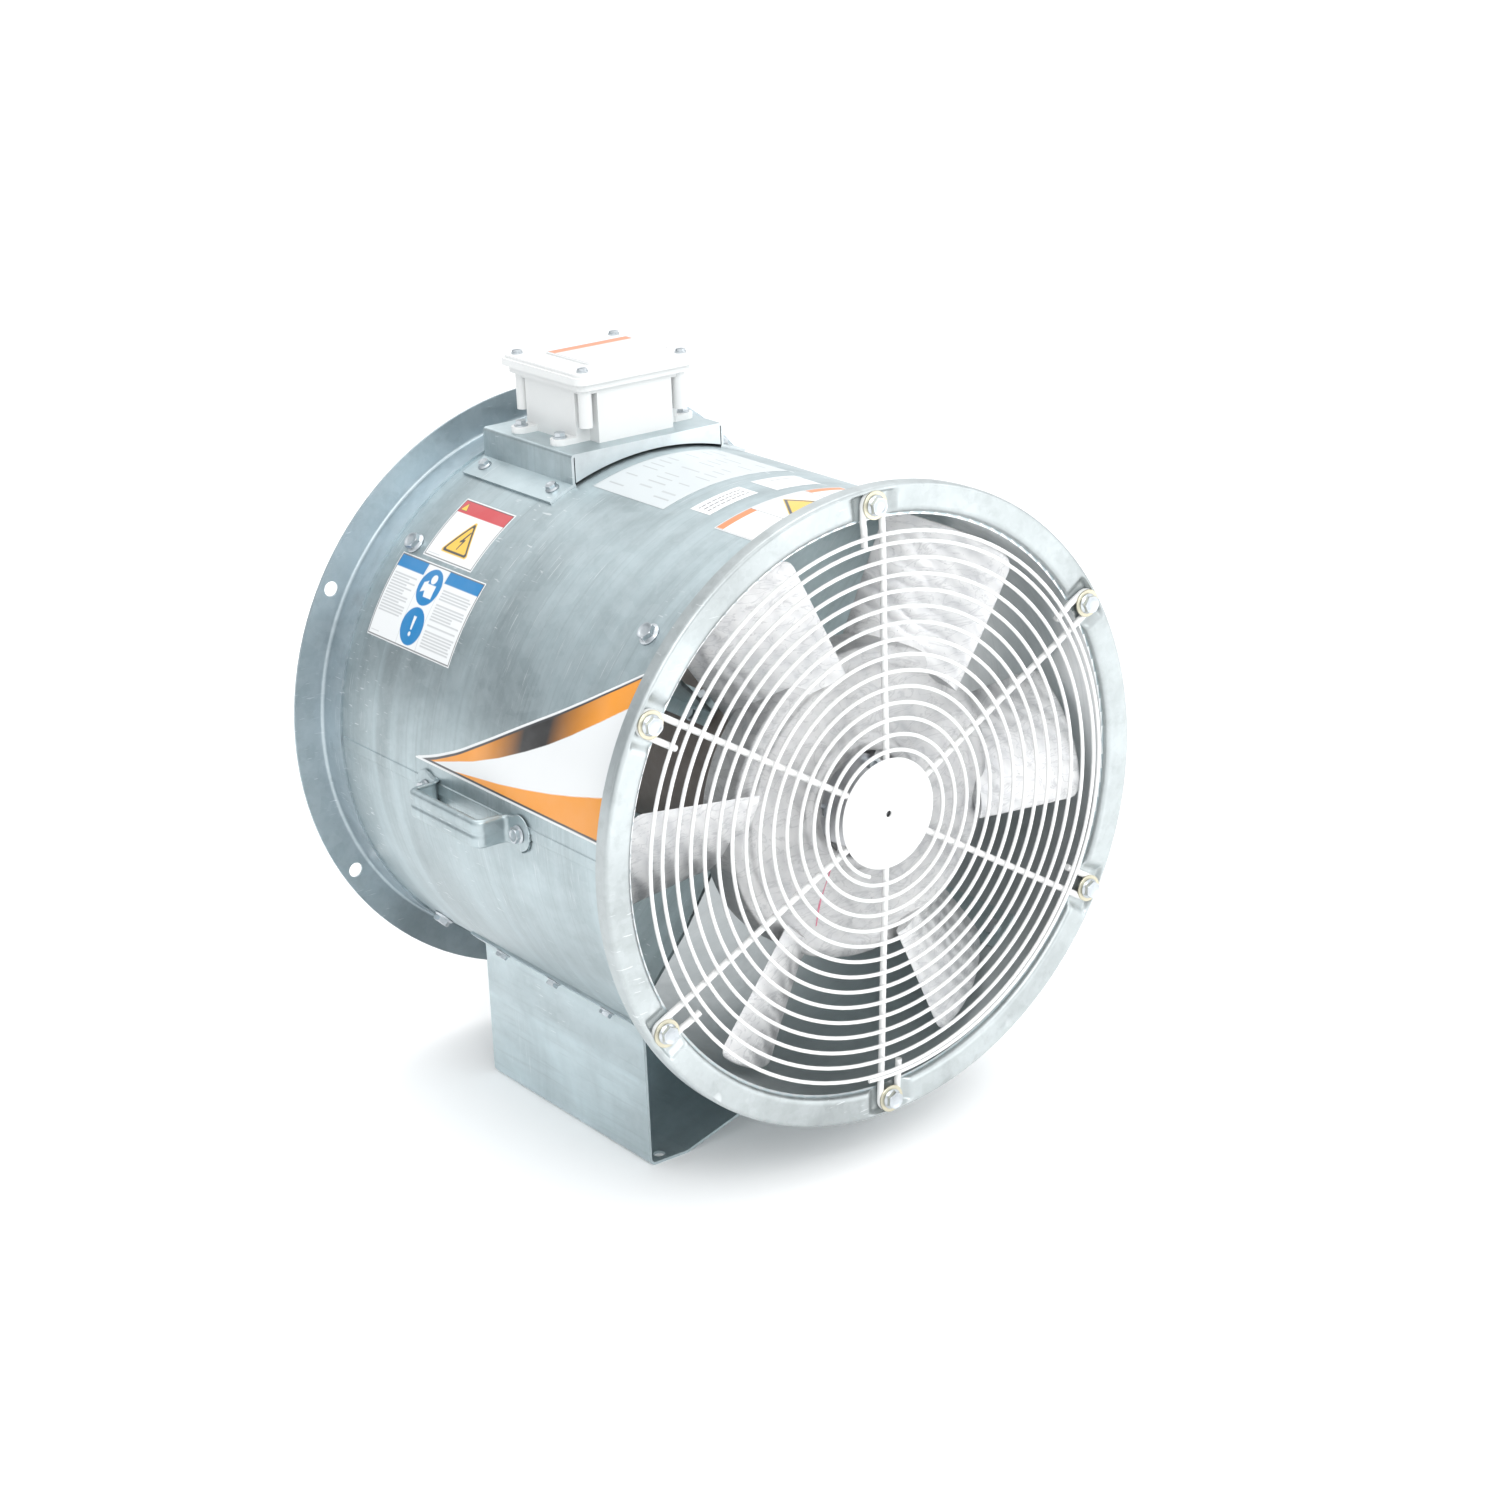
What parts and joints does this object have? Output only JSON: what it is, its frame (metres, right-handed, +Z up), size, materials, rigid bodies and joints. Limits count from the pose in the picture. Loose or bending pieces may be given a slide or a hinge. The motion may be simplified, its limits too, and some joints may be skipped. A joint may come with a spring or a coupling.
{
  "type": "in-line axial fan",
  "caption": "In-line axial ventilation fan: rolled sheet housing, spiral wire inlet guard, cast wheel on a vane-held motor, sheet base, carry handles and a wiring box.",
  "frame": {"origin": "on the floor under the middle of the whole object's bounding box", "axes": "+Z up; the fan axis runs along Y, with the guarded inlet facing -Y and the outlet flange facing +Y; +X is to the right when looking into the inlet"},
  "size_m": [0.521, 0.4554, 0.5994],
  "materials": {
    "galvanized": "galvanized sheet, dull with fine scratches",
    "galvanized_duct": "galvanized sheet, dull with fine scratches",
    "guard_coat": "near-white powder coat",
    "zinc": "bright zinc plate",
    "zinc_yellow": "yellow zinc plate",
    "white_pvc": "satin moulded plastic",
    "gasket": "closed-cell foam",
    "black_plastic": "moulded",
    "green_screw": "green-tinted zinc",
    "lead_jacket": "flexible jacket",
    "motor_paint": "brownish grey enamel",
    "steel": "ground steel",
    "lamination": "stacked electrical steel",
    "copper": "varnished copper wire",
    "cast_alu": "sanded casting",
    "dark_rubber": "moulded rubber"
  },
  "bodies": {
    "housing": {"housing_tube": "galvanized", "inlet_ring": "galvanized", "outlet_flange": "galvanized", "base_stand": "galvanized", "base_screws": "zinc", "base_nuts": "zinc", "guard_spiral": "guard_coat", "guard_spokes": "guard_coat", "guard_disc": "guard_coat", "guard_bolts": "zinc", "guard_washers": "zinc_yellow", "guard_nuts": "zinc", "handle_left": "galvanized", "handle_right": "galvanized", "handle_bolts": "zinc", "handle_nuts": "zinc", "box_bracket": "galvanized", "bracket_screws": "zinc", "junction_box": "white_pvc", "box_gasket": "gasket", "box_lid": "white_pvc", "lid_screws": "zinc", "box_screws": "zinc", "wire_nipple": "zinc", "nipple_locknuts": "zinc", "terminal_block": "black_plastic", "ground_screw": "green_screw", "motor_lead": "lead_jacket", "cable_gland": "black_plastic", "support_vanes": "galvanized_duct", "vane_bolts": "zinc", "clinch_nuts": "zinc", "vane_motor_bolts": "zinc", "motor_shell": "motor_paint", "motor_end_front": "motor_paint", "motor_end_rear": "motor_paint", "motor_tie_rods": "zinc", "stator_core": "lamination", "stator_windings": "copper", "bearing_outer_front": "steel", "bearing_outer_rear": "steel", "preload_washer": "steel"},
    "rotor": {"fan_wheel": "cast_alu", "hub_bushing": "steel", "bushing_screws": "zinc", "shaft_key": "steel", "motor_shaft": "steel", "rotor_core": "lamination", "rotor_cage": "cast_alu", "bearing_inner_front": "steel", "bearing_inner_rear": "steel", "bearing_balls_front": "steel", "bearing_balls_rear": "steel", "water_slinger": "dark_rubber"}
  },
  "joints": [
    {"name": "fan_spin", "type": "hinge", "parent": "housing", "child": "rotor", "pos_m": [0, -0.01935, 0.295], "axis": [0, 1, 0], "continuous": true}
  ]
}
